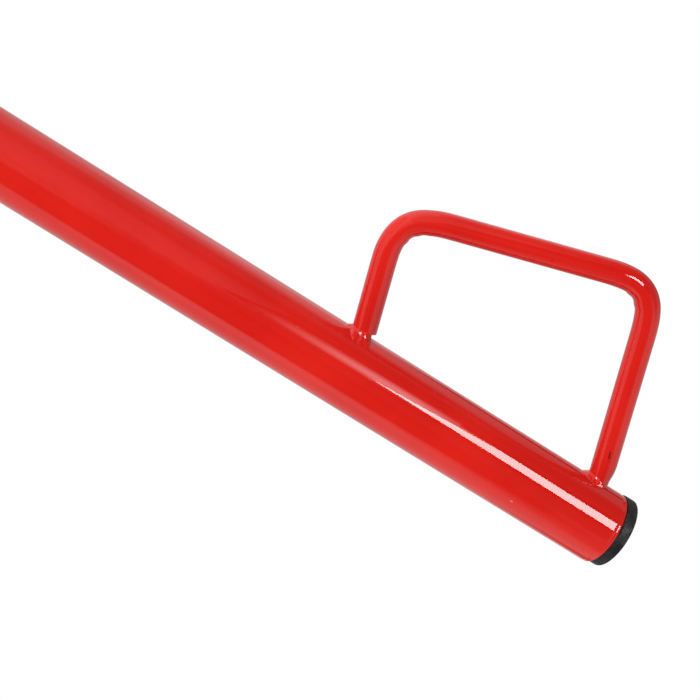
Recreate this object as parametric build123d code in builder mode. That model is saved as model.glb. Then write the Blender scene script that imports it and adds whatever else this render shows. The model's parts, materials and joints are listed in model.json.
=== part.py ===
from build123d import *
from math import atan2, cos, sin, tan
import os

# Hand post driver, standing on its open mouth as it is used.
# Origin on the barrel's axis in the plane of the mouth, +Z towards the plugged top end.
# Lengths are in millimetres.

# Barrel: 2 inch steel pipe, cut so that pipe and plug head together stand 36 inches tall.
overall_height = 914.0
barrel_diameter = 60.3
barrel_wall = 3.9
barrel_rim_radius = 0.9
mouth_lead_in = 1.2

# Plastic plug that closes the top end.
plug_head_diameter = 59.0
plug_head_thickness = 9.5
plug_head_rim_radius = 1.2
plug_crown = 0.6
plug_sleeve_diameter = 48.0
plug_sleeve_wall = 3.0
plug_sleeve_length = 24.0
plug_fin_count = 4
plug_fin_thickness = 1.3
plug_gate_diameter = 7.0
plug_gate_depth = 0.4

# Solid steel striker under the plug. The barrel is bored out from the top to seat it against a
# narrow shoulder, and a weld holds it down.
striker_seat_step = 0.35
striker_seat_clearance = 0.1
striker_length = 110.0
striker_below_top = 34.0
striker_weld_leg = 6.0

# Handles: 3/4 inch tube, bent twice, its square-cut ends welded to the barrel.
# "Out" is measured from the barrel's surface, "in from the end" along the barrel.
handle_diameter = 19.4
handle_wall = 2.0
handle_bend_radius = 31.5
long_foot_in_from_end = 26.5
long_corner_out = 150.5
long_corner_in_from_end = 80.5
short_corner_out = 91.5
short_corner_in_from_end = 274.0
short_foot_in_from_end = 245.5
handle_seat_depth = 0.5

# Fillet welds around three sides of each handle foot, left open towards the barrel's end.
long_leg_weld_radius = 15.0
short_leg_weld_radius = 18.5
weld_half_height = 6.0
weld_top_margin = 0.8
weld_open_side = 4.8

barrel_radius = barrel_diameter / 2
bore_radius = barrel_radius - barrel_wall
barrel_length = overall_height - plug_head_thickness
plug_head_radius = plug_head_diameter / 2
handle_radius = handle_diameter / 2
seat_radius = bore_radius + striker_seat_step
striker_radius = seat_radius - striker_seat_clearance
striker_top = barrel_length - striker_below_top
striker_face = striker_top - striker_length

# Local frames of the two handles. In each, x points away from the barrel's axis and y runs
# along the barrel from its end towards its middle. Half a turn about the Y direction through
# the barrel's middle takes one frame to the other.
top_end = Plane(origin=(0, 0, barrel_length), x_dir=(1, 0, 0), z_dir=(0, 1, 0))
mouth_end = Plane(origin=(0, 0, 0), x_dir=(-1, 0, 0), z_dir=(0, 1, 0))

long_foot = (barrel_radius, long_foot_in_from_end)
long_corner = (barrel_radius + long_corner_out, long_corner_in_from_end)
short_corner = (barrel_radius + short_corner_out, short_corner_in_from_end)
short_foot = (barrel_radius, short_foot_in_from_end)


def lean_of(foot, corner):
    """Angle in radians between a leg and the barrel's normal."""
    return atan2(corner[1] - foot[1], corner[0] - foot[0])


def along_leg(foot, corner, distance):
    """Point on a leg's axis at a distance from where the axis meets the barrel's surface."""
    lean = lean_of(foot, corner)
    return (foot[0] + distance * cos(lean), foot[1] + distance * sin(lean))


def cut_end(foot, corner):
    """Centre of a leg's square-cut end, whose lower corner is let into the barrel's surface."""
    stand_off = handle_radius * tan(lean_of(foot, corner))
    return along_leg(foot, corner, stand_off - handle_seat_depth)


def make_handle(end, name):
    """One bent tube, from the long leg's cut end to the short leg's."""
    with BuildPart() as handle:
        with BuildLine(end) as route:
            FilletPolyline(
                cut_end(long_foot, long_corner),
                long_corner,
                short_corner,
                cut_end(short_foot, short_corner),
                radius=handle_bend_radius,
            )
        with BuildSketch(Plane(origin=route.line @ 0, z_dir=route.line % 0)):
            Circle(handle_radius)
            Circle(handle_radius - handle_wall, mode=Mode.SUBTRACT)
        sweep()
        Cylinder(
            barrel_radius,
            barrel_length,
            align=(Align.CENTER, Align.CENTER, Align.MIN),
            mode=Mode.SUBTRACT,
        )
    handle.part.label = name
    return handle.part


def make_foot_weld(end, foot, corner, radius, handle, name):
    """Fillet weld between one handle foot and the barrel."""
    drift = weld_half_height * tan(lean_of(foot, corner))
    foot_point = end.from_local_coords((*foot, 0))
    outwards = end.x_dir
    along = end.y_dir
    toe_plane = Plane(
        origin=foot_point - outwards * weld_half_height - along * drift,
        x_dir=along,
        z_dir=outwards,
    )
    top_plane = Plane(
        origin=foot_point + outwards * weld_half_height + along * drift,
        x_dir=along,
        z_dir=outwards,
    )
    leg_start = end.from_local_coords((*along_leg(foot, corner, -2 * weld_half_height), 0))
    leg_plane = Plane(
        origin=leg_start,
        z_dir=end.from_local_coords((*along_leg(foot, corner, 0), 0)) - leg_start,
    )
    open_edge = (foot[0], foot[1] - weld_open_side)
    with BuildPart() as weld:
        with BuildSketch(toe_plane):
            Circle(radius)
        with BuildSketch(top_plane):
            Circle(handle_radius / cos(lean_of(foot, corner)) + weld_top_margin)
        loft()
        # The side towards the barrel's end stays open.
        with BuildSketch(Plane(origin=end.from_local_coords((*open_edge, 0)), z_dir=-along)):
            Rectangle(4 * radius, 4 * radius)
        extrude(amount=2 * radius, mode=Mode.SUBTRACT)
        # The tube's bore stays empty.
        with BuildSketch(leg_plane):
            Circle(handle_radius - handle_wall)
        extrude(amount=5 * weld_half_height, mode=Mode.SUBTRACT)
        Cylinder(
            barrel_radius,
            barrel_length,
            align=(Align.CENTER, Align.CENTER, Align.MIN),
            mode=Mode.SUBTRACT,
        )
        add(handle, mode=Mode.SUBTRACT)
    weld.part.label = name
    return weld.part


with BuildPart() as barrel:
    with BuildSketch(Plane.XY):
        Circle(barrel_radius)
        Circle(bore_radius, mode=Mode.SUBTRACT)
    extrude(amount=barrel_length)
    rings = barrel.edges().filter_by(GeomType.CIRCLE).sort_by(SortBy.RADIUS)
    bore_edges = rings[:2]
    outer_edges = rings[2:]
    chamfer(bore_edges.sort_by(Axis.Z)[0], length=mouth_lead_in)
    fillet(outer_edges, radius=barrel_rim_radius)
    with BuildSketch(Plane.XY.offset(striker_face)):
        Circle(seat_radius)
    extrude(amount=barrel_length - striker_face, mode=Mode.SUBTRACT)
barrel.part.label = "barrel"

with BuildPart() as striker:
    with BuildSketch(Plane.XY.offset(striker_face)):
        Circle(striker_radius)
    extrude(amount=striker_length)
striker.part.label = "striker_slug"

with BuildPart() as striker_weld:
    with BuildSketch(Plane.XZ):
        with BuildLine():
            Polyline(
                (seat_radius, striker_top + striker_weld_leg),
                (seat_radius, striker_top),
                (seat_radius - striker_weld_leg, striker_top),
                close=True,
            )
        make_face()
    revolve(axis=Axis.Z)
striker_weld.part.label = "striker_weld"

with BuildPart() as end_plug:
    # Head, slightly crowned and a little smaller than the barrel's outside.
    with BuildSketch(Plane.XZ):
        with BuildLine():
            Polyline(
                (0, overall_height),
                (0, barrel_length),
                (plug_head_radius, barrel_length),
                (plug_head_radius, overall_height - plug_crown),
            )
            ThreePointArc(
                (plug_head_radius, overall_height - plug_crown),
                (plug_head_radius / 2, overall_height - plug_crown / 4),
                (0, overall_height),
            )
        make_face()
    revolve(axis=Axis.Z)
    head_rim = end_plug.edges().filter_by(lambda edge: edge.is_closed).sort_by(Axis.Z)[-1]
    fillet(head_rim, radius=plug_head_rim_radius)
    # Shallow gate mark in the middle of the head.
    with Locations((0, 0, overall_height)):
        Cylinder(plug_gate_diameter / 2, 2 * plug_gate_depth, mode=Mode.SUBTRACT)
    # Hollow sleeve with fins that grip the barrel's bore.
    with BuildSketch(Plane.XY.offset(barrel_length - plug_sleeve_length)):
        Circle(plug_sleeve_diameter / 2)
        Circle(plug_sleeve_diameter / 2 - plug_sleeve_wall, mode=Mode.SUBTRACT)
    extrude(amount=plug_sleeve_length)
    fin_pitch = plug_sleeve_length / plug_fin_count
    for fin in range(plug_fin_count):
        with BuildSketch(Plane.XY.offset(barrel_length - plug_sleeve_length + fin * fin_pitch)):
            Circle(seat_radius)
            Circle(plug_sleeve_diameter / 2 - plug_sleeve_wall / 2, mode=Mode.SUBTRACT)
        extrude(amount=plug_fin_thickness)
end_plug.part.label = "end_plug"

pieces = [barrel.part, striker.part, striker_weld.part, end_plug.part]
for handle_name, end in (("upper_handle", top_end), ("lower_handle", mouth_end)):
    handle = make_handle(end, handle_name)
    pieces.append(handle)
    for leg_name, foot, corner, radius in (
        ("long_leg", long_foot, long_corner, long_leg_weld_radius),
        ("short_leg", short_foot, short_corner, short_leg_weld_radius),
    ):
        weld_name = f"{handle_name}_{leg_name}_weld"
        pieces.append(make_foot_weld(end, foot, corner, radius, handle, weld_name))

os.makedirs("parts", exist_ok=True)
for piece in pieces:
    export_step(piece, f"parts/{piece.label}.step")
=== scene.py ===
import json
import math

import bpy
from mathutils import Matrix, Quaternion, Vector, noise


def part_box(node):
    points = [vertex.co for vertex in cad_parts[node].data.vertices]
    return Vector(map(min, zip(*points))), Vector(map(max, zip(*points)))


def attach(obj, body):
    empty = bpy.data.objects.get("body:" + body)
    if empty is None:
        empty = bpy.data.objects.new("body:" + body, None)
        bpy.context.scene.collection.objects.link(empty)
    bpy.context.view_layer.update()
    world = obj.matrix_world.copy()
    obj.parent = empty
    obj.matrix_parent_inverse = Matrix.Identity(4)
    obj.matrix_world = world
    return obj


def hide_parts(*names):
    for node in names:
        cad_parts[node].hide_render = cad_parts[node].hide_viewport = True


# A hand post driver standing on its mouth, +Z up, in metres.
# The barrel, plug, handles and weld beads get finer meshes than the CAD pieces they stand for.
# The striker and its weld keep their CAD shape and get a material.

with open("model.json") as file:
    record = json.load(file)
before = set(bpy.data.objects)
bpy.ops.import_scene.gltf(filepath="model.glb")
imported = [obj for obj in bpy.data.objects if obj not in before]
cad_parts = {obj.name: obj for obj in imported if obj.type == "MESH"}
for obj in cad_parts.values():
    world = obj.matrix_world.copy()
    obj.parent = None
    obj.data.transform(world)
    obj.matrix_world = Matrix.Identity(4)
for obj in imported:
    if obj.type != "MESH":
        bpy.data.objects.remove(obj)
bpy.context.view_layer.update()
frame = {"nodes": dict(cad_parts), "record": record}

MM = 0.001

# Barrel. The places that the frame holds are read from it.
barrel_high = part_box("barrel")[1]
BARREL_RADIUS = barrel_high.x
BARREL_TOP = barrel_high.z
SEAT_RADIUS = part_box("striker_weld")[1].x
STRIKER_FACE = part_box("striker_slug")[0].z
mounts = {mount["name"]: mount for mount in frame["record"]["mounts"]}
BORE_RADIUS = mounts["post_bore"]["dims"]["r_mm"] * MM
MOUTH_LEAD_IN = 1.2 * MM
MOUTH_RIM_ROUNDING = 0.9 * MM
TOP_RIM_ROUNDING = 1.7 * MM
# The outside rolls in near the top end, between these depths below it.
TOP_TURN_IN = 0.25 * MM
TOP_TURN_START = 5.5 * MM
TOP_TURN_STOP = 2.6 * MM
TOP_TURN_STEPS = 8
# Heights of rings that only keep the long faces of the pipe short.
OUTER_RINGS = (0.1, 0.5, 0.8)
BORE_RING = 0.3

# Plug. The outline of the head's lower edge is given by how far it lies inside the head and how
# far above the barrel, and that of the gate mark by radii and depths below the crown.
plug_low, plug_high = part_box("end_plug")
PLUG_HEAD_RADIUS = plug_high.x
PLUG_LOWER_EDGE = ((0.35 * MM, 0.0), (0.08 * MM, 0.35 * MM), (0.0, 1.2 * MM))
PLUG_RIM_ROUNDING = 1.2 * MM
PLUG_RIM_TURN = 86
PLUG_RIM_STEPS = 12
PLUG_CROWN = 0.6 * MM
PLUG_CROWN_RINGS = (0.8, 0.6, 0.4, 0.25)
PLUG_AXIS_GAP = 0.01 * MM
PLUG_GATE = (
    (4.2 * MM, 0.0),
    (3.6 * MM, 0.0),
    (3.3 * MM, 0.35 * MM),
    (1.2 * MM, 0.4 * MM),
    (0.6 * MM, 0.1 * MM),
    (PLUG_AXIS_GAP, 0.0),
)
PLUG_OFF_CENTRE = 1.4 * MM
PLUG_SLEEVE_RADIUS = 24.0 * MM
PLUG_SLEEVE_WALL = 3.0 * MM
PLUG_FINS = 4
PLUG_FIN_THICKNESS = 1.3 * MM

# Handle. Its route is in its own plane: out from the barrel's axis, and in from the barrel's end.
HANDLE_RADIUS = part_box("upper_handle")[1].y
HANDLE_WALL = 2.0 * MM
BEND_RADIUS = 31.5 * MM
LONG_FOOT = Vector((BARREL_RADIUS, 26.5 * MM))
LONG_CORNER = Vector((BARREL_RADIUS + 150.5 * MM, 80.5 * MM))
SHORT_CORNER = Vector((BARREL_RADIUS + 91.5 * MM, 274.0 * MM))
SHORT_FOOT = Vector((BARREL_RADIUS, 245.5 * MM))
SEAT_DEPTH = 0.5 * MM

# The two ends of the barrel that the handles are measured from: origin, direction away from the
# barrel, and direction along it. Both handles lie in the plane square to SIDEWAYS.
UPPER_END = (Vector((0, 0, BARREL_TOP)), Vector((1, 0, 0)), Vector((0, 0, -1)))
LOWER_END = (Vector((0, 0, 0)), Vector((-1, 0, 0)), Vector((0, 0, 1)))
SIDEWAYS = Vector((0, 1, 0))

ROUND_STEPS = 192
TUBE_STEPS = 72
BARREL_CREASE = 35
PIECE_CREASE = 40


# ---------------------------------------------------------------- mesh helpers


def make_object(name, vertices, faces, materials, face_slots=None):
    """Smooth-shaded mesh object in the scene."""
    mesh = bpy.data.meshes.new(name)
    mesh.from_pydata(vertices, [], faces)
    mesh.validate()
    for material in materials:
        mesh.materials.append(material)
    if face_slots:
        mesh.polygons.foreach_set("material_index", face_slots)
    mesh.shade_smooth()
    piece = bpy.data.objects.new(name, mesh)
    bpy.context.scene.collection.objects.link(piece)
    return piece


def sharpen(piece, degrees):
    """Keeps edges sharper than an angle crisp."""
    piece.data.set_sharp_from_angle(angle=math.radians(degrees))


def smooth(share):
    """Share between 0 and 1 that starts and stops gently."""
    share = min(1.0, max(0.0, share))
    return share * share * (3 - 2 * share)


def arc(centre_r, centre_z, radius, start, stop, steps=8):
    """Points of a profile arc, angles in degrees from the outward direction."""
    points = []
    for step in range(steps + 1):
        angle = math.radians(start + (stop - start) * step / steps)
        points.append((centre_r + radius * math.cos(angle), centre_z + radius * math.sin(angle)))
    return points


def lathe(name, profile, slots, materials):
    """Turns a closed profile of (radius, height) points round the Z axis. slots holds a material
    index for each stretch between one point and the next."""
    vertices = []
    for radius, height in profile:
        for step in range(ROUND_STEPS):
            angle = 2 * math.pi * step / ROUND_STEPS
            vertices.append((radius * math.cos(angle), radius * math.sin(angle), height))
    faces = []
    face_slots = []
    for ring, slot in enumerate(slots):
        start = ring * ROUND_STEPS
        after = (ring + 1) % len(profile) * ROUND_STEPS
        for step in range(ROUND_STEPS):
            side = (step + 1) % ROUND_STEPS
            faces.append((start + step, start + side, after + side, after + step))
            face_slots.append(slot)
    return make_object(name, vertices, faces, materials, face_slots)


# ---------------------------------------------------------------- node helpers

# Squares of the distances from a spot's middle, as shares of its half size, at which it starts to
# fade and has gone.
SPOT_FADE_START = 0.5
SPOT_FADE_STOP = 1.2


class Nodes:
    """Shorthand for building one material's node tree."""

    def __init__(self, name):
        self.material = bpy.data.materials.new(name)
        self.material.use_nodes = True
        self.tree = self.material.node_tree
        self.shader = self.tree.nodes["Principled BSDF"]
        self.place = self.add("ShaderNodeTexCoord").outputs["Object"]

    def add(self, kind):
        return self.tree.nodes.new(kind)

    def link(self, output, target):
        self.tree.links.new(output, target)

    def noise(self, scale, detail=3.0, roughness=0.5, stretch=None):
        """Noise value over the object's own coordinates."""
        node = self.add("ShaderNodeTexNoise")
        node.inputs["Scale"].default_value = scale
        node.inputs["Detail"].default_value = detail
        node.inputs["Roughness"].default_value = roughness
        if stretch:
            mapping = self.add("ShaderNodeMapping")
            mapping.inputs["Scale"].default_value = stretch
            self.link(self.place, mapping.inputs["Vector"])
            self.link(mapping.outputs["Vector"], node.inputs["Vector"])
        else:
            self.link(self.place, node.inputs["Vector"])
        return node.outputs["Fac"]

    def remap(self, value, low, high, to_low=0.0, to_high=1.0):
        """Value from low..high carried over to to_low..to_high on a soft curve, and clamped."""
        node = self.add("ShaderNodeMapRange")
        node.interpolation_type = "SMOOTHSTEP"
        node.inputs["From Min"].default_value = low
        node.inputs["From Max"].default_value = high
        node.inputs["To Min"].default_value = to_low
        node.inputs["To Max"].default_value = to_high
        self.link(value, node.inputs["Value"])
        return node.outputs["Result"]

    def math(self, operation, first, second):
        """One arithmetic step. Either side may be a number or an output."""
        node = self.add("ShaderNodeMath")
        node.operation = operation
        for side, value in zip(node.inputs, (first, second)):
            if isinstance(value, (int, float)):
                side.default_value = value
            else:
                self.link(value, side)
        return node.outputs["Value"]

    def vector_math(self, operation, first, second):
        """One step with vectors. The second side may be a vector or an output."""
        node = self.add("ShaderNodeVectorMath")
        node.operation = operation
        self.link(first, node.inputs[0])
        if isinstance(second, Vector):
            node.inputs[1].default_value = second
        else:
            self.link(second, node.inputs[1])
        return node.outputs["Value" if operation == "DOT_PRODUCT" else "Vector"]

    def spot(self, centre, way, length, width):
        """One inside a long thin spot on the surface, fading out at its edge."""
        apart = self.vector_math("SUBTRACT", self.place, centre)
        total = self.vector_math("DOT_PRODUCT", apart, apart)
        along = self.math("POWER", self.vector_math("DOT_PRODUCT", apart, way), 2.0)
        across = self.math("SUBTRACT", total, along)
        shape = self.math("DIVIDE", across, (width / 2) ** 2)
        shape = self.math("ADD", shape, self.math("DIVIDE", along, (length / 2) ** 2))
        return self.remap(shape, SPOT_FADE_START, SPOT_FADE_STOP, 1.0, 0.0)

    def mix(self, kind, factor, first, second):
        """Mix of two colours or two vectors, each an output or a constant."""
        node = self.add("ShaderNodeMix")
        node.data_type = kind
        self.link(factor, node.inputs["Factor"])
        for socket, value in ((node.inputs["A"], first), (node.inputs["B"], second)):
            if isinstance(value, tuple):
                socket.default_value = (*value, 1.0)
            elif isinstance(value, Vector):
                socket.default_value = value
            else:
                self.link(value, socket)
        return node.outputs["Result"]

    def blend(self, factor, first, second):
        """Mix of two colours, each an output or an RGB triple."""
        return self.mix("RGBA", factor, first, second)

    def turn(self, factor, normal, facing):
        """Normal turned towards a fixed direction."""
        return self.mix("VECTOR", factor, normal, facing)

    def bump(self, height, strength, distance, under=None):
        """Bump from a height between 0 and 1 times a distance, on top of another bump."""
        node = self.add("ShaderNodeBump")
        node.inputs["Strength"].default_value = strength
        node.inputs["Distance"].default_value = distance
        self.link(height, node.inputs["Height"])
        if under:
            self.link(under, node.inputs["Normal"])
        return node.outputs["Normal"]

    def finish(self, colour, roughness, normal):
        """The finished material."""
        self.link(colour, self.shader.inputs["Base Color"])
        self.link(roughness, self.shader.inputs["Roughness"])
        self.link(normal, self.shader.inputs["Normal"])
        return self.material


# ---------------------------------------------------------------- materials

# In every material a noise has about as many lumps to the metre as its scale says, so a scale of
# 230 makes one about every 4 mm.
PAINT_RED = (0.66, 0.0155, 0.0095)
PAINT_DEEP = (0.60, 0.0115, 0.0075)
CHIP_BROWN = (0.10, 0.012, 0.008)
SCUFF_PINK = (0.80, 0.20, 0.16)
STEEL_DARK = (0.075, 0.068, 0.062)
STEEL_WORN = (0.30, 0.28, 0.26)
SCALE_BROWN = (0.07, 0.035, 0.02)
PLASTIC_BLACK = (0.010, 0.010, 0.011)
PLASTIC_DUSTY = (0.030, 0.029, 0.030)
COAT_IOR = 1.5
COAT_ROUGHNESS = 0.035
COAT_RUBBED = 0.05
COAT_FINE = 0.02
BORE_METAL = 0.35
STRIKER_METAL = 0.85
PLASTIC_SHINE = 0.25
# Heights in the bore at which the overspray starts to thin out and has gone, and how ragged
# that edge is.
OVERSPRAY_THINS = -0.015
OVERSPRAY_ENDS = 0.035
OVERSPRAY_RAGGED = 0.05


def powder_coat(name, marks=(), lumps=0.0, facets=()):
    """Glossy red powder coat: faint orange peel, slow waves in the steel under it, specks of dust
    caught in the coat, a few rubbed patches and tiny dark pinholes. marks are single chips and
    scuffs, each a colour, its strength and the place, direction, length and width of a spot.
    lumps is the height of the small bumps left in a weld. facets are small flat bits of a weld,
    each the direction it faces and the place, direction, length and width of its spot."""
    nodes = Nodes(name)
    cloud = nodes.remap(nodes.noise(9.0, 4.0), 0.35, 0.65)
    colour = nodes.blend(cloud, PAINT_DEEP, PAINT_RED)
    pinhole = nodes.remap(nodes.noise(260.0, 2.0), 0.775, 0.80)
    colour = nodes.blend(pinhole, colour, CHIP_BROWN)
    for tint, strength, *spot in marks:
        colour = nodes.blend(nodes.math("MULTIPLY", nodes.spot(*spot), strength), colour, tint)
    rubbed = nodes.remap(nodes.noise(22.0, 6.0, 0.7, (1.0, 1.0, 0.25)), 0.55, 0.75)
    fine = nodes.remap(nodes.noise(700.0, 2.0), 0.3, 0.7, 0.0, COAT_FINE)
    roughness = nodes.math("ADD", nodes.math("MULTIPLY", rubbed, COAT_RUBBED), fine)
    roughness = nodes.math("ADD", roughness, COAT_ROUGHNESS)
    lumpy = nodes.bump(nodes.noise(230.0, 1.0), 1.0, lumps) if lumps else None
    waves = nodes.bump(nodes.noise(26.0, 1.0), 0.5, 0.10 * MM, lumpy)
    peel = nodes.bump(nodes.noise(420.0, 2.0), 0.07, 0.02 * MM, waves)
    specks = nodes.remap(nodes.noise(330.0, 1.0), 0.74, 0.82)
    normal = nodes.bump(specks, 0.6, 0.06 * MM, peel)
    for facing, *spot in facets:
        normal = nodes.turn(nodes.spot(*spot), normal, facing)
    nodes.shader.inputs["IOR"].default_value = COAT_IOR
    return nodes.finish(colour, roughness, normal)


def bore_steel(name):
    """Bare inside of the pipe: mill scale and rust, and red overspray that fades from the mouth
    inwards."""
    nodes = Nodes(name)
    patches = nodes.remap(nodes.noise(60.0, 6.0, 0.65), 0.4, 0.65)
    colour = nodes.blend(patches, STEEL_DARK, SCALE_BROWN)
    scratches = nodes.remap(nodes.noise(90.0, 3.0, 0.6, (12.0, 12.0, 0.5)), 0.60, 0.66)
    colour = nodes.blend(scratches, colour, STEEL_WORN)
    split = nodes.add("ShaderNodeSeparateXYZ")
    nodes.link(nodes.place, split.inputs["Vector"])
    ragged = nodes.math("MULTIPLY", nodes.noise(70.0, 5.0), OVERSPRAY_RAGGED)
    depth = nodes.math("SUBTRACT", split.outputs["Z"], ragged)
    overspray = nodes.remap(depth, OVERSPRAY_THINS, OVERSPRAY_ENDS, 1.0, 0.0)
    colour = nodes.blend(overspray, colour, PAINT_DEEP)
    roughness = nodes.remap(nodes.noise(120.0, 4.0), 0.2, 0.8, 0.45, 0.75)
    normal = nodes.bump(nodes.noise(500.0, 5.0, 0.7), 0.5, 0.15 * MM)
    nodes.shader.inputs["Metallic"].default_value = BORE_METAL
    return nodes.finish(colour, roughness, normal)


def battered_steel(name):
    """Dark steel of the striker, dented and polished in spots where posts have met it."""
    nodes = Nodes(name)
    dents = nodes.add("ShaderNodeTexVoronoi")
    dents.feature = "SMOOTH_F1"
    dents.inputs["Scale"].default_value = 190.0
    dents.inputs["Smoothness"].default_value = 0.6
    nodes.link(nodes.place, dents.inputs["Vector"])
    polished = nodes.remap(nodes.noise(75.0, 5.0), 0.48, 0.62)
    colour = nodes.blend(polished, STEEL_DARK, STEEL_WORN)
    roughness = nodes.remap(nodes.noise(150.0, 4.0), 0.3, 0.7, 0.32, 0.6)
    coarse = nodes.bump(dents.outputs["Distance"], 0.6, 0.5 * MM)
    normal = nodes.bump(nodes.noise(900.0, 4.0), 0.3, 0.05 * MM, coarse)
    nodes.shader.inputs["Metallic"].default_value = STRIKER_METAL
    return nodes.finish(colour, roughness, normal)


def moulded_plastic(name):
    """Black moulded polyethylene: satin, lightly grained, with dusty patches and streaky scuffs.
    """
    nodes = Nodes(name)
    dusty = nodes.remap(nodes.noise(140.0, 6.0, 0.7), 0.4, 0.75)
    colour = nodes.blend(dusty, PLASTIC_BLACK, PLASTIC_DUSTY)
    scuffs = nodes.remap(nodes.noise(120.0, 4.0, 0.7, (1.0, 5.0, 1.0)), 0.62, 0.70)
    colour = nodes.blend(scuffs, colour, PLASTIC_DUSTY)
    roughness = nodes.remap(nodes.noise(160.0, 4.0), 0.3, 0.7, 0.42, 0.60)
    grain = nodes.bump(nodes.noise(900.0, 3.0, 0.6), 0.6, 0.06 * MM)
    normal = nodes.bump(nodes.noise(110.0, 2.0), 0.3, 0.08 * MM, grain)
    nodes.shader.inputs["Specular IOR Level"].default_value = PLASTIC_SHINE
    return nodes.finish(colour, roughness, normal)


# ---------------------------------------------------------------- barrel and plug


def make_barrel(coat, bore):
    """Pipe with rounded rims, a lead-in at the mouth and the striker's seat bored from the top."""
    paint, bare = 0, 1
    stretches = []

    def run(points, slot):
        stretches.extend((point, slot) for point in points)

    rim = MOUTH_RIM_ROUNDING
    run(arc(BARREL_RADIUS - rim, rim, rim, -90, 0), paint)
    run([(BARREL_RADIUS, height) for height in OUTER_RINGS], paint)
    for step in range(TOP_TURN_STEPS + 1):
        share = step / TOP_TURN_STEPS
        height = BARREL_TOP - TOP_TURN_START + (TOP_TURN_START - TOP_TURN_STOP) * share
        run([(BARREL_RADIUS - TOP_TURN_IN * smooth(share), height)], paint)
    rim = TOP_RIM_ROUNDING
    run(arc(BARREL_RADIUS - rim - TOP_TURN_IN, BARREL_TOP - rim, rim, 0, 90), paint)
    run([(SEAT_RADIUS, height) for height in (BARREL_TOP, STRIKER_FACE)], bare)
    run([(BORE_RADIUS, height) for height in (STRIKER_FACE, BORE_RING, MOUTH_LEAD_IN)], bare)
    run([(BORE_RADIUS + MOUTH_LEAD_IN, 0.0)], paint)
    profile = [point for point, slot in stretches]
    slots = [slot for point, slot in stretches]
    piece = lathe("barrel_pipe", profile, slots, [coat, bore])
    sharpen(piece, BARREL_CREASE)
    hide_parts("barrel")
    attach(piece, "root")
    return piece


def make_plug(plastic):
    """Plug head with a rounded rim, a low crown and a gate mark, over a hollow finned sleeve."""
    top = BARREL_TOP
    crown = plug_high.z
    radius = PLUG_HEAD_RADIUS
    rounding = PLUG_RIM_ROUNDING
    shoulder = crown - PLUG_CROWN
    sleeve = PLUG_SLEEVE_RADIUS
    hollow = sleeve - PLUG_SLEEVE_WALL
    profile = [(radius - inside, top + above) for inside, above in PLUG_LOWER_EDGE]
    profile += arc(
        radius - rounding, shoulder - rounding, rounding, 0, PLUG_RIM_TURN, PLUG_RIM_STEPS
    )
    profile += [(radius * share, crown - PLUG_CROWN * share**2) for share in PLUG_CROWN_RINGS]
    profile += [(gate_radius, crown - depth) for gate_radius, depth in PLUG_GATE]
    profile += [(PLUG_AXIS_GAP, top), (hollow, top), (hollow, plug_low.z)]
    fin_pitch = (top - plug_low.z) / PLUG_FINS
    for fin in range(PLUG_FINS):
        foot = plug_low.z + fin * fin_pitch
        brim = foot + PLUG_FIN_THICKNESS
        profile += [(sleeve, foot), (SEAT_RADIUS, foot), (SEAT_RADIUS, brim), (sleeve, brim)]
    profile.append((sleeve, top))
    piece = lathe("plug_cap", profile, [0] * len(profile), [plastic])
    # The head sits a little off the barrel's axis.
    for vertex in piece.data.vertices:
        if vertex.co.z >= top:
            vertex.co.x += PLUG_OFF_CENTRE
    sharpen(piece, PIECE_CREASE)
    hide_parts("end_plug")
    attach(piece, "root")
    return piece


# ---------------------------------------------------------------- handles

BEND_STEPS = 40
LONG_LEG_STEPS = 60
SHORT_LEG_STEPS = 50
GRIP_STEPS = 60

# How far the tube's centre lies inside the ideal route before each bend, in its middle and after
# it, and where and how widely that shows, as angles from the middle of the bend.
LONG_BEND_SHAPE = (0.60 * MM, -0.30 * MM, 0.60 * MM)
SHORT_BEND_SHAPE = (0.85 * MM, -0.40 * MM, 0.35 * MM)
BEND_ENDS = math.radians(35)
BEND_SPREAD = math.radians(14)

# Section of the tube in a bend: two low creases on the inside, a hollow between them as a share
# of their height, and an oval as a share of the radius. All of it has gone at BEND_EXTENT.
BEND_EXTENT = math.radians(45)
BEND_CREASE_ANGLE = math.radians(13)
BEND_CREASE_WIDTH = math.radians(6)
BEND_CREASE_HEIGHT = 0.6 * MM
BEND_HOLLOW = 0.35
BEND_FLATTENING = 0.022

# The long leg's cut end is pinched on the side towards the barrel's end.
PINCH_LENGTH = 14.0 * MM
PINCH_DEPTH = 2.4 * MM


def direction(start, stop):
    """Unit vector from one point to another."""
    return (stop - start).normalized()


def leg_frame(end, foot, corner):
    """Where a leg's axis meets the barrel, the direction up the leg, and the one square to it
    that points away from the barrel's end."""
    origin, outwards, along = end
    leg = direction(foot, corner)
    base = origin + outwards * foot.x + along * foot.y
    return base, outwards * leg.x + along * leg.y, outwards * -leg.y + along * leg.x


def cut_end(foot, corner):
    """Centre of a leg's square-cut end, whose lower corner is let into the barrel."""
    leg = direction(foot, corner)
    stand_off = HANDLE_RADIUS * leg.y / leg.x - SEAT_DEPTH
    return foot + leg * stand_off


def bend_stations(before, corner, after):
    """Stations along the arc at one corner of the route. A station holds a point, the inward
    direction there, and the angle from the middle of the nearest bend."""
    arriving = direction(before, corner)
    leaving = direction(corner, after)
    turn = arriving.angle(leaving)
    setback = BEND_RADIUS * math.tan(turn / 2)
    inward = (leaving - arriving).normalized()
    centre = corner + inward * (BEND_RADIUS / math.cos(turn / 2))
    side = 1 if arriving.cross(leaving) > 0 else -1
    start = corner - arriving * setback
    stations = []
    for step in range(BEND_STEPS + 1):
        spoke = start - centre
        spoke.rotate(Matrix.Rotation(side * turn * step / BEND_STEPS, 2))
        middle = (step / BEND_STEPS - 0.5) * turn
        stations.append((centre + spoke, -spoke.normalized(), middle))
    return stations


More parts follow.
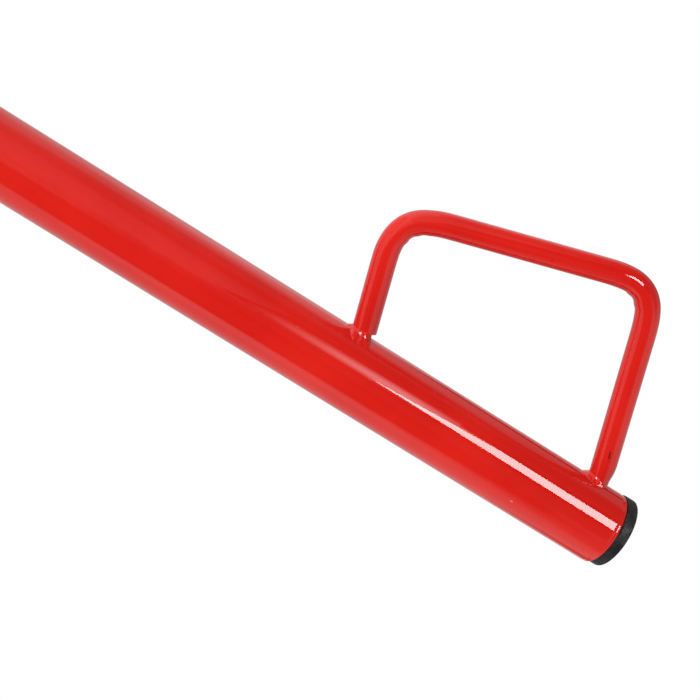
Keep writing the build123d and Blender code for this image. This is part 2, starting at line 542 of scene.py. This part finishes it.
def straight_stations(start, stop, steps, inward, turns):
    """Stations along a straight run. turns holds half the angle of the bend before the run and
    of the bend after it, or None where the run ends at the barrel."""
    length = (stop - start).length
    stations = []
    for step in range(steps + 1):
        passed = length * step / steps
        after_bend = turns[0] is not None and (turns[1] is None or passed < length / 2)
        if after_bend:
            middle = turns[0] + passed / BEND_RADIUS
        else:
            middle = -turns[1] - (length - passed) / BEND_RADIUS
        stations.append((start.lerp(stop, step / steps), inward, middle))
    return stations


def shift_inwards(middle, shape):
    """How far the tube's centre lies inside the ideal route. The tube runs in a little too far
    before and after each bend, and a little wide in the middle of it."""
    before, halfway, after = shape
    side = before if middle < 0 else after
    ends = math.exp(-(((abs(middle) - BEND_ENDS) / BEND_SPREAD) ** 2))
    return side * ends + halfway * math.exp(-((middle / BEND_SPREAD) ** 2))


def handle_stations():
    """The whole route from the long leg's cut end to the short leg's: stations, each with the
    shape of its nearest bend."""
    long_end = cut_end(LONG_FOOT, LONG_CORNER)
    short_end = cut_end(SHORT_FOOT, SHORT_CORNER)
    long_bend = bend_stations(long_end, LONG_CORNER, SHORT_CORNER)
    short_bend = bend_stations(LONG_CORNER, SHORT_CORNER, short_end)
    long_start, long_way, _ = long_bend[0]
    grip_start, grip_way, long_half = long_bend[-1]
    grip_stop = short_bend[0][0]
    short_start, short_way, short_half = short_bend[-1]
    long_run = straight_stations(long_end, long_start, LONG_LEG_STEPS, long_way, (None, long_half))
    grip = straight_stations(grip_start, grip_stop, GRIP_STEPS, grip_way, (long_half, short_half))
    short_run = straight_stations(
        short_start, short_end, SHORT_LEG_STEPS, short_way, (short_half, None)
    )
    grip_middle = GRIP_STEPS // 2
    around_long = long_run + long_bend[1:-1] + grip[:grip_middle]
    around_short = grip[grip_middle:] + short_bend[1:-1] + short_run
    stations = [(*station, LONG_BEND_SHAPE) for station in around_long]
    stations += [(*station, SHORT_BEND_SHAPE) for station in around_short]
    return stations


def section_radius(middle, angle):
    """Outer radius of the tube at an angle round it from the inside of a bend. The thin tube
    creases on the inside of the bend and goes slightly oval."""
    if abs(middle) > BEND_EXTENT:
        return HANDLE_RADIUS
    ease = math.cos(middle / BEND_EXTENT * math.pi / 2)
    inner = max(0.0, math.cos(angle)) ** 2
    crease = math.exp(-(((abs(middle) - BEND_CREASE_ANGLE) / BEND_CREASE_WIDTH) ** 2))
    oval = -BEND_FLATTENING * ease * math.cos(2 * angle)
    rise = BEND_CREASE_HEIGHT * (crease - BEND_HOLLOW * ease)
    return HANDLE_RADIUS * (1 + oval) + rise * inner * ease


def make_handle(end, name, node, coat):
    """One bent tube with its bore, in the plane through the barrel's axis."""
    origin, outwards, along = end
    stations = handle_stations()
    long_end = stations[0][0]
    vertices = []
    for wall in (0.0, HANDLE_WALL):
        for point, inward, middle, shape in stations:
            inner_way = outwards * inward.x + along * inward.y
            centre = origin + outwards * point.x + along * point.y
            centre += inner_way * shift_inwards(middle, shape)
            from_cut = (point - long_end).length
            pinch = max(0.0, 1 - from_cut / PINCH_LENGTH) ** 2 * PINCH_DEPTH
            for step in range(TUBE_STEPS):
                angle = 2 * math.pi * step / TUBE_STEPS
                radius = section_radius(middle, angle) - wall
                radius -= pinch * max(0.0, -math.cos(angle))
                spoke = inner_way * math.cos(angle) + SIDEWAYS * math.sin(angle)
                vertices.append(centre + spoke * radius)
    count = len(stations)
    faces = []
    for wall in range(2):
        for ring in range(count - 1):
            start = (wall * count + ring) * TUBE_STEPS
            for step in range(TUBE_STEPS):
                side = (step + 1) % TUBE_STEPS
                after = start + TUBE_STEPS
                quad = (start + step, start + side, after + side, after + step)
                faces.append(quad[::-1] if wall else quad)
    for ring in (0, count - 1):
        outer = ring * TUBE_STEPS
        inner = (count + ring) * TUBE_STEPS
        for step in range(TUBE_STEPS):
            side = (step + 1) % TUBE_STEPS
            quad = (outer + step, outer + side, inner + side, inner + step)
            faces.append(quad[::-1] if ring == 0 else quad)
    piece = make_object(name, vertices, faces, [coat])
    sharpen(piece, PIECE_CREASE)
    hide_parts(node)
    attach(piece, "root")
    return piece


# ---------------------------------------------------------------- weld beads

BEAD_PROFILE_STEPS = 14
BEAD_STEPS = 180

# How far the edges of the bead's face are let into the tube and the barrel, and how deep its
# root lies.
BEAD_TOP_SINK = 0.1 * MM
BEAD_TOE_SINK = 0.4 * MM
BEAD_ROOT_DEPTH = 1.2 * MM

# The face's curve is drawn by two points between its edges: a hollow under its top and a belly
# over its toe, placed by shares of the bead's height and reach.
HOLLOW_DROP, HOLLOW_OUT = 0.62, 0.02
BELLY_RISE, BELLY_IN = 0.30, 0.20

# Unevenness: a slow wobble and quicker lumps, how fast each changes along the bead, from leg to
# leg and from handle to handle, and how much each changes the bead's height and reach.
WOBBLE_RATES = Vector((9, 90, 1))
LUMPS_RATES = Vector((31, 70, 3))
WOBBLE_HEIGHT, LUMPS_HEIGHT = 0.10, 0.05
WOBBLE_REACH, LUMPS_REACH = 0.05, 0.03

# Ripples across the bead, the share of their height by which its toe moves, and how far the
# wobble shifts them.
RIPPLE_PITCH = 4.0 * MM
RIPPLE_HEIGHT = 0.05 * MM
RIPPLE_AT_TOE = 0.5
RIPPLE_WOBBLE = 1.5

# Share of its height and reach that is left where the bead has run out.
END_HEIGHT = 0.25
END_REACH = 0.05

# Reach over the barrel and height above the leg's cut end, first on the side away from the
# barrel's end and then on the flanks, the angles between which the one turns into the other, the
# angles between which the bead runs out, and how far the leg and the bead's toe are drawn in on
# the far side. Angles are in degrees from the side away from the barrel's end.
LONG_LEG_BEAD = {
    "reach": (5.2 * MM, 1.0 * MM),
    "height": (4.2 * MM, 3.0 * MM),
    "turn": (25, 105),
    "run_out": (100, 176),
    "drawn_in": (PINCH_DEPTH, 4.4 * MM),
}
SHORT_LEG_BEAD = {
    "reach": (4.2 * MM, 10.0 * MM),
    "height": (3.4 * MM, 3.2 * MM),
    "turn": (34, 74),
    "run_out": (102, 128),
    "drawn_in": (0.0, 0.0),
}


def bead_size(shape, degrees):
    """Reach and height of an even bead at an angle, and the share of it that is left there."""
    turn_start, turn_stop = shape["turn"]
    ebb_start, stop = shape["run_out"]
    turned = smooth((abs(degrees) - turn_start) / (turn_stop - turn_start))
    left = smooth((stop - abs(degrees)) / (stop - ebb_start))
    reach = shape["reach"][0] + (shape["reach"][1] - shape["reach"][0]) * turned
    height = shape["height"][0] + (shape["height"][1] - shape["height"][0]) * turned
    return reach, height, left


def bead_face(top, hollow, belly, toe):
    """Points on the curve across the bead's face, from the tube down to the barrel."""
    points = []
    for dot in range(BEAD_PROFILE_STEPS + 1):
        t = dot / BEAD_PROFILE_STEPS
        point = top * (1 - t) ** 3 + hollow * 3 * t * (1 - t) ** 2
        point += belly * 3 * t**2 * (1 - t) + toe * t**3
        points.append(point)
    return points


def make_bead(end, foot, corner, shape, name, node, coat):
    """Fillet weld laid round a handle's foot, open on the side towards the barrel's end."""
    outwards = end[1]
    leg = direction(foot, corner)
    base, leg_way, toe_way = leg_frame(end, foot, corner)

    def spoke_at(angle):
        """Direction square to the leg at an angle round it."""
        return toe_way * math.cos(angle) + SIDEWAYS * math.sin(angle)

    def on_barrel(radius, angle):
        """Point on the barrel at a radius and angle round the leg's axis."""
        start = base + spoke_at(angle) * radius
        height = math.sqrt(BARREL_RADIUS**2 - start.y**2)
        climb = (height - start.dot(outwards)) / leg_way.dot(outwards)
        return start + leg_way * climb

    stop = shape["run_out"][1]
    tube_in, toe_in = shape["drawn_in"]
    travel = 0.0
    vertices = []
    for step in range(BEAD_STEPS + 1):
        share = step / BEAD_STEPS
        degrees = stop * (2 * share - 1)
        angle = math.radians(degrees)
        reach, height, left = bead_size(shape, degrees)
        place = Vector((share, foot.y, outwards.x))
        wobble = noise.noise(place * WOBBLE_RATES)
        lumps = noise.noise(place * LUMPS_RATES)
        travel += (HANDLE_RADIUS + reach / 2) * math.radians(2 * stop / BEAD_STEPS)
        phase = 2 * math.pi * travel / RIPPLE_PITCH + RIPPLE_WOBBLE * wobble
        ripple = math.sin(phase) * RIPPLE_HEIGHT
        gap = HANDLE_RADIUS * leg.y / leg.x * (1 - math.cos(angle))
        height *= END_HEIGHT + (1 - END_HEIGHT) * left
        height = gap + height * (1 + WOBBLE_HEIGHT * wobble + LUMPS_HEIGHT * lumps)
        reach *= END_REACH + (1 - END_REACH) * left
        reach *= 1 + WOBBLE_REACH * wobble + LUMPS_REACH * lumps
        far_side = max(0.0, -math.cos(angle))
        tucked = HANDLE_RADIUS - toe_in * far_side
        spoke = spoke_at(angle).normalized()
        top = on_barrel(HANDLE_RADIUS - tube_in * far_side, angle) + leg_way * height
        toe = on_barrel(tucked + reach + ripple * RIPPLE_AT_TOE, angle)
        barrel_way = Vector((toe.x, toe.y, 0)).normalized()
        swell = (spoke + barrel_way) * ripple
        hollow = top - leg_way * height * HOLLOW_DROP + spoke * reach * HOLLOW_OUT + swell
        belly = toe + barrel_way * height * BELLY_RISE - spoke * reach * BELLY_IN + swell
        top -= spoke * BEAD_TOP_SINK
        toe -= barrel_way * BEAD_TOE_SINK
        vertices += bead_face(top, hollow, belly, toe)
        root = tucked - BEAD_ROOT_DEPTH
        vertices.append(on_barrel(root, angle) - barrel_way * BEAD_ROOT_DEPTH)
    ring = BEAD_PROFILE_STEPS + 2
    faces = []
    for step in range(BEAD_STEPS):
        start = step * ring
        for dot in range(ring):
            side = (dot + 1) % ring
            faces.append((start + dot, start + side, start + ring + side, start + ring + dot))
    faces.append(tuple(range(ring))[::-1])
    faces.append(tuple(BEAD_STEPS * ring + dot for dot in range(ring)))
    piece = make_object(name, vertices, faces, [coat])
    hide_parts(node)
    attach(piece, "root")
    return piece


# ---------------------------------------------------------------- stage, lights and camera

FLOOR_RADIUS = 0.62
FLOOR_DROP = 0.3 * MM
FLOOR_STEPS = 96
FLOOR_PALE, FLOOR_PALER = (0.80, 0.80, 0.79), (0.84, 0.84, 0.83)


def make_floor():
    """Small pale disc under the driver."""
    vertices = [(0, 0, -FLOOR_DROP)]
    for step in range(FLOOR_STEPS):
        angle = 2 * math.pi * step / FLOOR_STEPS
        x, y = FLOOR_RADIUS * math.cos(angle), FLOOR_RADIUS * math.sin(angle)
        vertices.append((x, y, -FLOOR_DROP))
    faces = [(0, 1 + step, 1 + (step + 1) % FLOOR_STEPS) for step in range(FLOOR_STEPS)]
    nodes = Nodes("floor_paint")
    shade = nodes.remap(nodes.noise(5.0), 0.3, 0.7)
    colour = nodes.blend(shade, FLOOR_PALE, FLOOR_PALER)
    roughness = nodes.remap(nodes.noise(40.0), 0.3, 0.7, 0.6, 0.7)
    material = nodes.finish(colour, roughness, nodes.bump(nodes.noise(200.0), 0.1, 0.1 * MM))
    make_object("floor", vertices, faces, [material])


def heading(azimuth, elevation):
    """Unit vector at an azimuth from +Y towards +X and an elevation, both in degrees."""
    a, e = math.radians(azimuth), math.radians(elevation)
    return Vector((math.sin(a) * math.cos(e), math.cos(a) * math.cos(e), math.sin(e)))


def make_panel(name, corners, material, spot, way, tilt):
    """Flat panel of the studio that faces along a direction, turned by a tilt in degrees about
    it. Only the gloss of the driver shows it: it isn't seen, casts no shadow and lights nothing
    else."""
    panel = make_object(name, corners, [(0, 1, 2, 3)], [material])
    panel.location = spot
    panel.rotation_mode = "QUATERNION"
    upright = way.to_track_quat("Z", "Y")
    panel.rotation_quaternion = upright @ Quaternion((0, 0, 1), math.radians(tilt))
    panel.visible_camera = False
    panel.visible_diffuse = False
    panel.visible_shadow = False
    return panel


# The softboxes. Angles are in degrees, seen from the eye point of the box: where it is aimed, its
# spread from side to side, the elevations of its bottom and its top, and how far above the bottom
# it has its full glow. Over the next GLOW_SETTLING degrees it goes from the first of its glows to
# the second. slant is the slope of its lower edge, and spill the glow of the spill round it.
SOFTBOX_TILT = -9.0
SOFTBOX_SIDE_FADE = 0.98
GLOW_SETTLING = 5.0
BARREL_SOFTBOX = {
    "eye": Vector((0.013, 0.02, 0.80)),
    "distance": 3.0,
    "aim": (35.6, 16.0),
    "spread": 20.4,
    "bottom": 7.1,
    "top": 30.0,
    "fade": 1.3,
    "slant": 0.32,
    "glows": (18.0, 14.2),
    "spill": 4.2,
}
HANDLE_SOFTBOX = {
    "eye": Vector((0.162, 0.009, 0.803)),
    "distance": 0.3,
    "aim": (32.3, 18.6),
    "spread": 17.0,
    "bottom": 9.2,
    "top": 23.5,
    "fade": 2.0,
    "slant": 0.0,
    "glows": (17.0, 17.0),
    "spill": 0.0,
}

# Spill of light round the barrel softbox's lower end: the elevations at which it starts, is full
# and has gone, its spread, how far aside it lies as a share of the distance, and its lean.
SPILL_BOTTOM = -3.0
SPILL_FULL = 8.0
SPILL_TOP = 15.0
SPILL_SPREAD = 38.0
SPILL_ASIDE = 0.078
SPILL_LEAN = 0.5


def make_softbox(name, box, receivers):
    """Soft light that is reflected in the gloss of the receivers only, a little tilted, and the
    much fainter spill of light round its lower end where it has one."""
    distance = box["distance"]
    azimuth, elevation = box["aim"]

    def level(height):
        """Height on the panel of an elevation."""
        return distance * math.tan(math.radians(height - elevation))

    def half_width(spread):
        return distance * math.tan(math.radians(spread / 2))

    nodes = Nodes(name)
    split = nodes.add("ShaderNodeSeparateXYZ")
    nodes.link(nodes.place, split.inputs["Vector"])
    across, height = split.outputs["X"], split.outputs["Y"]
    full = box["bottom"] + box["fade"]
    wide = half_width(box["spread"])
    slant = nodes.math("MULTIPLY", nodes.math("SUBTRACT", wide, across), -box["slant"])
    climb = nodes.math("ADD", height, slant)
    rise = nodes.remap(climb, level(box["bottom"]), level(full))
    sideways = nodes.math("ABSOLUTE", across, 0.0)
    inside = nodes.remap(sideways, SOFTBOX_SIDE_FADE * wide, wide, 1.0, 0.0)
    glow = nodes.remap(height, level(full), level(full + GLOW_SETTLING), *box["glows"])
    glow = nodes.math("MULTIPLY", nodes.math("MULTIPLY", rise, inside), glow)

    lean = nodes.math("MULTIPLY", height, SPILL_LEAN)
    aside = nodes.math("ADD", nodes.math("ADD", across, lean), distance * SPILL_ASIDE)
    spill_wide = half_width(SPILL_SPREAD)
    spill = nodes.remap(nodes.math("ABSOLUTE", aside, 0.0), 0.0, spill_wide, 1.0, 0.0)
    spill_rise = nodes.remap(height, level(SPILL_BOTTOM), level(SPILL_FULL), 0.0, box["spill"])
    spill_end = nodes.remap(height, level(SPILL_FULL), level(SPILL_TOP), 1.0, 0.0)
    spill = nodes.math("MULTIPLY", nodes.math("MULTIPLY", spill, spill_rise), spill_end)

    glowing = nodes.add("ShaderNodeEmission")
    nodes.link(nodes.math("ADD", glow, spill), glowing.inputs["Strength"])
    output = nodes.tree.nodes["Material Output"]
    nodes.link(glowing.outputs["Emission"], output.inputs["Surface"])
    nodes.tree.nodes.remove(nodes.shader)

    side = spill_wide if box["spill"] else wide
    low = level(SPILL_BOTTOM if box["spill"] else box["bottom"])
    high = level(box["top"])
    corners = [(-side, low, 0), (side, low, 0), (side, high, 0), (-side, high, 0)]
    way = heading(azimuth, elevation)
    spot = box["eye"] + way * distance
    panel = make_panel(name, corners, nodes.material, spot, way, SOFTBOX_TILT)
    lit = bpy.data.collections.new(name)
    for piece in receivers:
        lit.objects.link(piece)
    panel.light_linking.receiver_collection = lit


# Dark light stand far behind the driver, as a leaning panel with its foot at STAND_FOOT.
STAND_BLACK, STAND_GREY = (0.012, 0.012, 0.013), (0.025, 0.025, 0.027)
STAND_FOOT = heading(149.5, 0) * 3.0 + Vector((0, 0, 1.25))
STAND_LEAN = 36.0
STAND_WIDTH = 0.38
STAND_HEIGHT = 2.0


def make_light_stand():
    """Dark stand far behind the driver, which shows as a thin line in its gloss."""
    nodes = Nodes("light_stand")
    grain = nodes.noise(12.0, 3.0)
    colour = nodes.blend(grain, STAND_BLACK, STAND_GREY)
    roughness = nodes.remap(grain, 0.3, 0.7, 0.7, 0.9)
    material = nodes.finish(colour, roughness, nodes.bump(grain, 0.2, 0.5 * MM))
    half = STAND_WIDTH / 2
    corners = [(-half, 0, 0), (half, 0, 0), (half, STAND_HEIGHT, 0), (-half, STAND_HEIGHT, 0)]
    make_panel("light_stand", corners, material, STAND_FOOT, STAND_FOOT, -STAND_LEAN)


DRIVER_MIDDLE = Vector((0, 0, 0.5))
FILL_DISTANCE = 2.4
FILLS = {
    "front_fill": {"way": heading(17, -22), "size": 1.6, "power": 56.0},
    "side_fill": {"way": heading(-76, 52), "size": 1.6, "power": 29.0},
    "back_fill": {"way": heading(165, 10), "size": 1.8, "power": 24.0},
}


def make_fill(name, way, size, power):
    """Large soft light aimed at the driver. It only fills in: it is not seen or reflected."""
    light = bpy.data.lights.new(name, "AREA")
    light.shape = "DISK"
    light.size = size
    light.energy = power
    lamp = bpy.data.objects.new(name, light)
    lamp.location = DRIVER_MIDDLE + way * FILL_DISTANCE
    lamp.rotation_mode = "QUATERNION"
    lamp.rotation_quaternion = (-way).to_track_quat("-Z", "Y")
    lamp.visible_camera = False
    lamp.visible_glossy = False
    bpy.context.scene.collection.objects.link(lamp)


SKY_LEVEL = 0.70


class Sky:
    """Surroundings built up in the world's node tree, one dimmed or brightened cone after
    another."""

    def __init__(self, level):
        world = bpy.data.worlds.new("studio")
        bpy.context.scene.world = world
        world.use_nodes = True
        self.tree = world.node_tree
        self.background = self.tree.nodes["Background"]
        self.background.inputs["Color"].default_value = (1, 1, 1, 1)
        self.way = self.tree.nodes.new("ShaderNodeTexCoord").outputs["Generated"]
        self.level = level

    def tone(self, azimuth, elevation, inner, outer, share_left):
        """Takes everything within an inner angle of a heading to a share of what it was, and
        leaves everything beyond an outer angle as it is."""
        dot = self.tree.nodes.new("ShaderNodeVectorMath")
        dot.operation = "DOT_PRODUCT"
        dot.inputs[1].default_value = heading(azimuth, elevation)
        self.tree.links.new(self.way, dot.inputs[0])
        share = self.tree.nodes.new("ShaderNodeMapRange")
        share.interpolation_type = "SMOOTHSTEP"
        share.inputs["From Min"].default_value = math.cos(math.radians(outer))
        share.inputs["From Max"].default_value = math.cos(math.radians(inner))
        share.inputs["To Min"].default_value = 1.0
        share.inputs["To Max"].default_value = share_left
        self.tree.links.new(dot.outputs["Value"], share.inputs["Value"])
        product = self.tree.nodes.new("ShaderNodeMath")
        product.operation = "MULTIPLY"
        self.tree.links.new(share.outputs["Result"], product.inputs[0])
        if isinstance(self.level, float):
            product.inputs[1].default_value = self.level
        else:
            self.tree.links.new(self.level, product.inputs[1])
        self.level = product.outputs["Value"]

    def finish(self):
        """The camera itself sees plain white."""
        rays = self.tree.nodes.new("ShaderNodeLightPath")
        pick = self.tree.nodes.new("ShaderNodeMix")
        pick.inputs["B"].default_value = 1.0
        self.tree.links.new(rays.outputs["Is Camera Ray"], pick.inputs["Factor"])
        self.tree.links.new(self.level, pick.inputs["A"])
        self.tree.links.new(pick.outputs["Result"], self.background.inputs["Strength"])


def make_world():
    """White studio, with dim and bright parts that the gloss shows."""
    sky = Sky(SKY_LEVEL)
    # The side of the studio that the camera stands on is dim, above and below the camera too.
    sky.tone(-30, -7, 25, 33, 0.06)
    sky.tone(2, 14, 14, 26, 0.12)
    sky.tone(60, 32, 24, 40, 0.28)
    sky.tone(85, 8, 16, 32, 0.35)
    sky.tone(45, 0, 20, 45, 0.55)
    sky.tone(6, -16, 8, 18, 0.45)
    sky.tone(-38, 34, 10, 32, 0.35)
    # Two dim gaps behind the driver.
    sky.tone(138, 32, 16, 34, 0.4)
    sky.tone(-122, 30, 6, 16, 0.2)
    # Brighter parts low down, at one side and behind.
    sky.tone(125, -58, 22, 55, 1.5)
    sky.tone(15, -58, 15, 35, 1.25)
    sky.tone(-68, 2, 6, 14, 1.3)
    sky.tone(140, 11, 12, 27, 1.6)
    sky.finish()


# The photograph was taken from about 0.8 m away, with the driver lying head down across it.
CAMERA_SPOT = Vector((0.18779, 0.81057, 0.56138))
CAMERA_AIM = Vector((0.01408, 0.0, 0.65717))
CAMERA_ROLL = 121.855
CAMERA_LENS = 56.332
CAMERA_SENSOR = 36.0
CAMERA_CLIP = (0.05, 50.0)


def make_camera():
    """Camera at the photograph's viewing angle."""
    camera = bpy.data.cameras.new("camera")
    camera.lens = CAMERA_LENS
    camera.sensor_width = CAMERA_SENSOR
    camera.clip_start, camera.clip_end = CAMERA_CLIP
    holder = bpy.data.objects.new("camera", camera)
    holder.location = CAMERA_SPOT
    holder.rotation_mode = "QUATERNION"
    level = (CAMERA_AIM - CAMERA_SPOT).to_track_quat("-Z", "Y")
    holder.rotation_quaternion = level @ Quaternion((0, 0, 1), math.radians(CAMERA_ROLL))
    bpy.context.scene.collection.objects.link(holder)
    bpy.context.scene.camera = holder


# ---------------------------------------------------------------- single marks

# Chip in the paint of the long leg, up the leg from its foot, and scuff on the barrel.
CHIP_UP_LEG = 25.0 * MM
CHIP_ASIDE = 0.9 * MM
CHIP_LENGTH, CHIP_WIDTH = 7.4 * MM, 1.5 * MM
CHIP_SLANT = 0.06
CHIP_STRENGTH = 0.9
SCUFF_FROM_END = 83.5 * MM
SCUFF_AZIMUTH = -27.5
SCUFF_LENGTH, SCUFF_WIDTH = 2.4 * MM, 1.8 * MM
SCUFF_STRENGTH = 0.7

# Lumps of all weld beads, and marks on those of the upper handle. Places are offsets from the
# foot of the leg: away from the barrel, sideways, and along the barrel. A facet is a place, a
# length and a width.
WELD_LUMPS = 1.3 * MM
PIT = Vector((-0.5, 11.9, 4.4)) * MM
PIT_LENGTH, PIT_WIDTH = 1.8 * MM, 1.6 * MM
PIT_STRENGTH = 0.8
FACET_SLANT = 0.6
SHORT_LEG_FACING = heading(23.1, 5.8)
SHORT_LEG_FACETS = (
    (Vector((1.3, 10.5, 3.6)) * MM, 4.2 * MM, 2.2 * MM),
    (Vector((1.0, 11.4, -1.0)) * MM, 5.0 * MM, 1.8 * MM),
)
LONG_LEG_FACING = heading(23.5, -1.5)
LONG_LEG_FACETS = (
    (Vector((2.6, 8.3, 6.7)) * MM, 2.0 * MM, 1.6 * MM),
    (Vector((-0.2, 10.8, 1.7)) * MM, 2.4 * MM, 1.4 * MM),
)


def paint_marks():
    """The chip on the upper handle's long leg and the scuff on the barrel."""
    foot, leg_way, toe_way = leg_frame(UPPER_END, LONG_FOOT, LONG_CORNER)
    chip = foot + leg_way * CHIP_UP_LEG + toe_way * CHIP_ASIDE + SIDEWAYS * HANDLE_RADIUS
    chip_way = (leg_way + toe_way * CHIP_SLANT).normalized()
    scuff = Vector((0, 0, BARREL_TOP - SCUFF_FROM_END)) + heading(SCUFF_AZIMUTH, 0) * BARREL_RADIUS
    scuff_way = Vector((0, 0, 1))
    return [
        (CHIP_BROWN, CHIP_STRENGTH, chip, chip_way, CHIP_LENGTH, CHIP_WIDTH),
        (SCUFF_PINK, SCUFF_STRENGTH, scuff, scuff_way, SCUFF_LENGTH, SCUFF_WIDTH),
    ]


def beside(foot, offset):
    """Point at an offset from where a leg of the upper handle meets the barrel."""
    origin, outwards, along = UPPER_END
    base = origin + outwards * foot.x + along * foot.y
    return base + outwards * offset.x + SIDEWAYS * offset.y + along * offset.z


def weld_marks():
    """The pit in the bead at the upper handle's short leg."""
    along = UPPER_END[2]
    return [(CHIP_BROWN, PIT_STRENGTH, beside(SHORT_FOOT, PIT), along, PIT_LENGTH, PIT_WIDTH)]


def weld_facets():
    """The flat bits of the upper handle's two beads that catch the light."""
    outwards, along = UPPER_END[1:]
    way = (outwards + along * FACET_SLANT).normalized()
    legs = (
        (SHORT_FOOT, SHORT_LEG_FACING, SHORT_LEG_FACETS),
        (LONG_FOOT, LONG_LEG_FACING, LONG_LEG_FACETS),
    )
    return [
        (facing, beside(foot, place), way, length, width)
        for foot, facing, facets in legs
        for place, length, width in facets
    ]


# ---------------------------------------------------------------- the scene

coat = powder_coat("red_powder_coat", paint_marks())
bead_coat = powder_coat("red_powder_coat_on_weld", weld_marks(), WELD_LUMPS, weld_facets())
bore = bore_steel("bore_steel")
steel = battered_steel("battered_steel")
plastic = moulded_plastic("black_plastic")

barrel = make_barrel(coat, bore)
plug = make_plug(plastic)
for node in ("striker_slug", "striker_weld"):
    frame["nodes"][node].data.materials.clear()
    frame["nodes"][node].data.materials.append(steel)

LEGS = (
    ("long_leg", LONG_FOOT, LONG_CORNER, LONG_LEG_BEAD),
    ("short_leg", SHORT_FOOT, SHORT_CORNER, SHORT_LEG_BEAD),
)
grips = []
beads = []
for side, end in (("upper", UPPER_END), ("lower", LOWER_END)):
    grips.append(make_handle(end, f"{side}_grip_tube", f"{side}_handle", coat))
    for leg, foot, corner, shape in LEGS:
        name = f"{side}_{leg}_bead"
        node = f"{side}_handle_{leg}_weld"
        beads.append(make_bead(end, foot, corner, shape, name, node, bead_coat))

make_floor()
make_world()
make_light_stand()
make_softbox("barrel_softbox", BARREL_SOFTBOX, [barrel, plug, *beads])
make_softbox("handle_softbox", HANDLE_SOFTBOX, grips)
for name, fill in FILLS.items():
    make_fill(name, **fill)
make_camera()
bpy.context.scene.view_settings.view_transform = "Standard"
